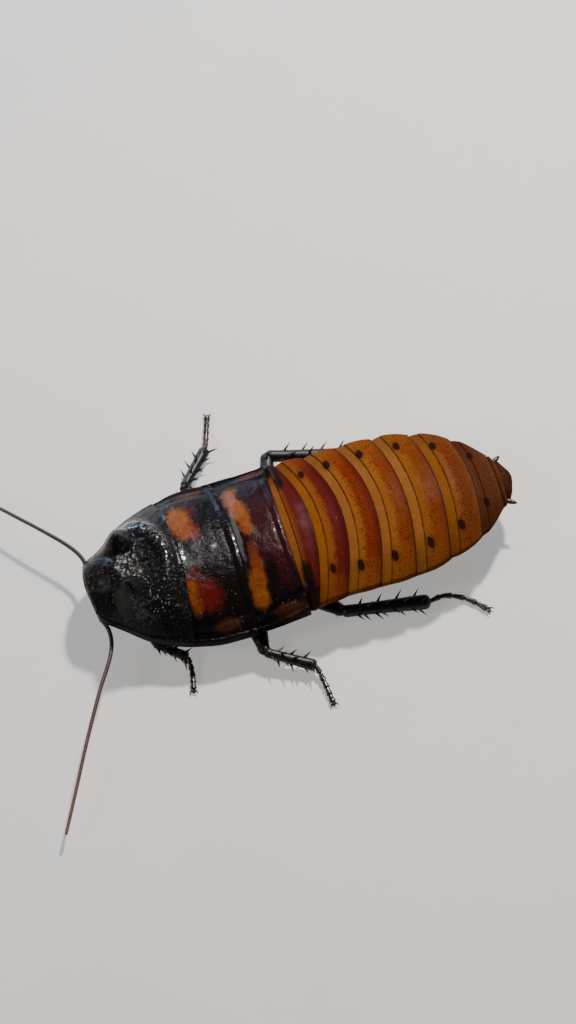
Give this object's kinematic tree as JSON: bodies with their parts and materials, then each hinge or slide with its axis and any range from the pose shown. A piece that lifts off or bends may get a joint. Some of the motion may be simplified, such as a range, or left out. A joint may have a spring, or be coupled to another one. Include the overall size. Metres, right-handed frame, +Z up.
{
  "type": "madagascar hissing cockroach",
  "caption": "Life-size standing adult male hissing cockroach with horned neck shield, banded oval abdomen, spiny legs and long antennae, a still museum display model.",
  "frame": {"origin": "middle of the bounding box's footprint, at floor level under the feet", "axes": "+Z up, +Y towards the insect's tail, +X towards the insect's left side; the head faces -Y"},
  "size_m": [0.0678, 0.0872, 0.0138],
  "materials": {
    "shield_black": "glossy black horn with fine pits",
    "thorax_plate": "glossy black and maroon with orange patches",
    "abdomen_plate": "semi-gloss amber with brown-red rear bands",
    "underside": "semi-gloss brown",
    "eye": "glossy black, faceted",
    "antenna": "satin reddish brown, ringed",
    "head": "glossy dark brown",
    "limb": "glossy black-brown"
  },
  "bodies": {
    "root": {"antenna_base_left": "limb", "antenna_base_right": "limb", "antenna_far_left": "antenna", "antenna_far_right": "antenna", "antenna_near_left": "antenna", "antenna_near_right": "antenna", "cercus_left": "limb", "cercus_right": "limb", "eye_left": "eye", "eye_right": "eye", "head": "head", "labium": "head", "left_fore_coxa": "limb", "left_fore_femur": "limb", "left_fore_tarsus": "limb", "left_fore_tibia": "limb", "left_hind_coxa": "limb", "left_hind_femur": "limb", "left_hind_tarsus": "limb", "left_hind_tibia": "limb", "left_middle_coxa": "limb", "left_middle_femur": "limb", "left_middle_tarsus": "limb", "left_middle_tibia": "limb", "maxillary_palp_left": "head", "maxillary_palp_right": "head", "mesonotum": "thorax_plate", "metanotum": "thorax_plate", "pronotum": "shield_black", "right_fore_coxa": "limb", "right_fore_femur": "limb", "right_fore_tarsus": "limb", "right_fore_tibia": "limb", "right_hind_coxa": "limb", "right_hind_femur": "limb", "right_hind_tarsus": "limb", "right_hind_tibia": "limb", "right_middle_coxa": "limb", "right_middle_femur": "limb", "right_middle_tarsus": "limb", "right_middle_tibia": "limb", "sternite_2": "underside", "sternite_3": "underside", "sternite_4": "underside", "sternite_5": "underside", "sternite_6": "underside", "sternite_7": "underside", "subgenital_plate": "underside", "supra_anal_plate": "abdomen_plate", "tergite_1": "abdomen_plate", "tergite_2": "abdomen_plate", "tergite_3": "abdomen_plate", "tergite_4": "abdomen_plate", "tergite_5": "abdomen_plate", "tergite_6": "abdomen_plate", "tergite_7": "abdomen_plate", "tergite_8": "abdomen_plate", "thorax_underside": "underside"}
  },
  "joints": []
}
